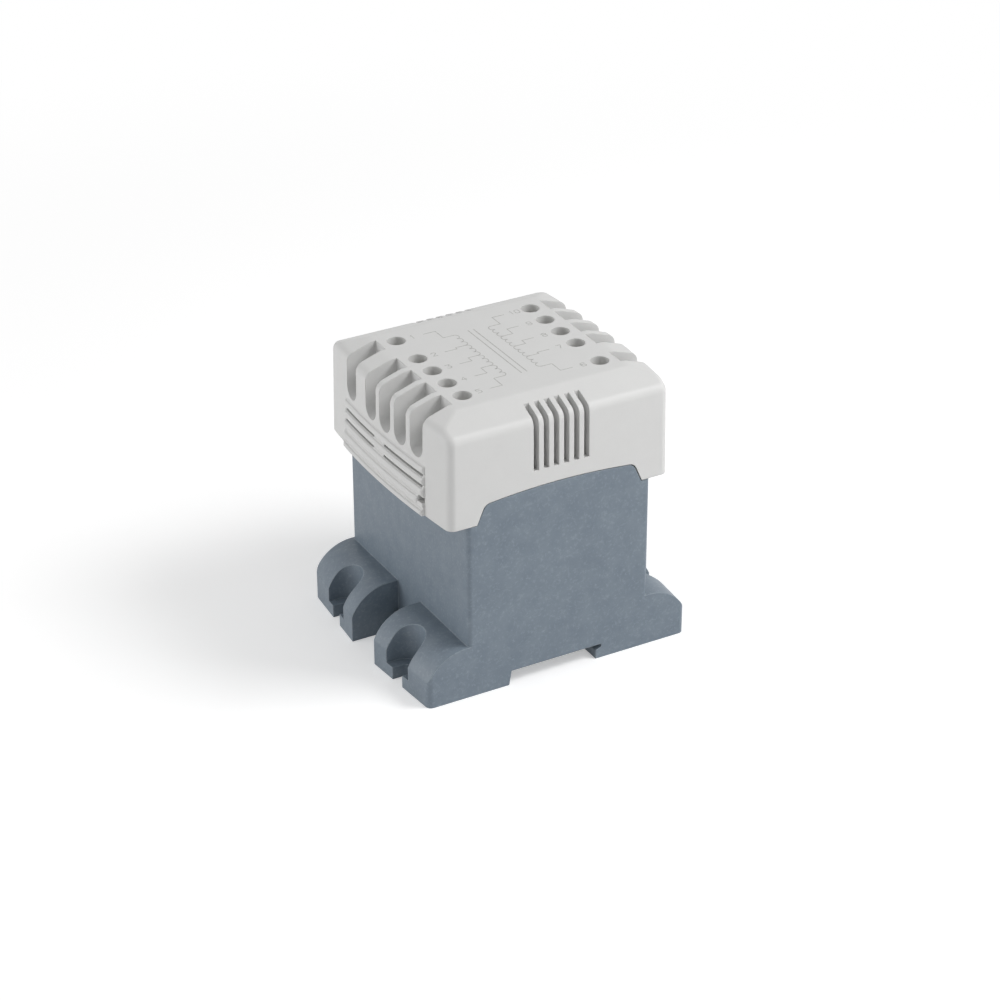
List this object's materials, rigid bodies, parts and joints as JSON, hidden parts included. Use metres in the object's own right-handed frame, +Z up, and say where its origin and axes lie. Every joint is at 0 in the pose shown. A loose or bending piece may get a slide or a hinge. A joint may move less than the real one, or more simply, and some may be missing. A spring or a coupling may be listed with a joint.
{
  "type": "control transformer",
  "caption": "Enclosed control transformer with slotted feet, a rail latch, two rows of shrouded screw terminals and a ventilated terminal cover.",
  "frame": {"origin": "centre of the underside of the base", "axes": "+Z up, X from one row of terminals to the other, with the rail latch on the -X side, Y along the rail channel"},
  "size_m": [0.1104, 0.0892, 0.1072],
  "materials": {
    "housing_plastic": "matte",
    "cover_plastic": "matte",
    "latch_plastic": "matte",
    "block_plastic": "matte",
    "former_plastic": "satin",
    "insulation_tape": "satin",
    "winding_wire": "gloss",
    "lead_wire": "satin",
    "lamination_steel": "satin",
    "clamp_steel": "satin",
    "bolt_steel": "satin",
    "cage_steel": "satin",
    "bar_metal": "satin",
    "screw_steel": "satin",
    "spring_steel": "satin"
  },
  "bodies": {
    "transformer": {"housing": "housing_plastic", "latch_spring": "spring_steel", "core_e_laminations": "lamination_steel", "core_i_laminations": "lamination_steel", "coil_former": "former_plastic", "primary_winding": "winding_wire", "primary_tape": "insulation_tape", "secondary_winding": "winding_wire", "secondary_tape": "insulation_tape", "clamp_frame_left": "clamp_steel", "clamp_frame_right": "clamp_steel", "core_bolts": "bolt_steel", "core_nuts": "bolt_steel", "frame_screws": "bolt_steel", "terminal_block_left": "block_plastic", "terminal_block_right": "block_plastic", "clamp_cage_left_1": "cage_steel", "current_bar_left_1": "bar_metal", "clamp_cage_left_2": "cage_steel", "current_bar_left_2": "bar_metal", "clamp_cage_left_3": "cage_steel", "current_bar_left_3": "bar_metal", "clamp_cage_left_4": "cage_steel", "current_bar_left_4": "bar_metal", "clamp_cage_left_5": "cage_steel", "current_bar_left_5": "bar_metal", "clamp_cage_right_1": "cage_steel", "current_bar_right_1": "bar_metal", "clamp_cage_right_2": "cage_steel", "current_bar_right_2": "bar_metal", "clamp_cage_right_3": "cage_steel", "current_bar_right_3": "bar_metal", "clamp_cage_right_4": "cage_steel", "current_bar_right_4": "bar_metal", "clamp_cage_right_5": "cage_steel", "current_bar_right_5": "bar_metal", "terminal_screws_left": "screw_steel", "terminal_screws_right": "screw_steel", "primary_leads": "lead_wire", "secondary_leads": "lead_wire", "terminal_cover": "cover_plastic"},
    "latch": {"rail_latch": "latch_plastic"}
  },
  "joints": [
    {"name": "latch_slide", "type": "slide", "parent": "transformer", "child": "latch", "axis": [-1, 0, 0], "range_m": [0, 0.0035], "stiffness_N_per_m": 400, "springref_m": -0.004, "deforming": ["latch_spring"]}
  ]
}
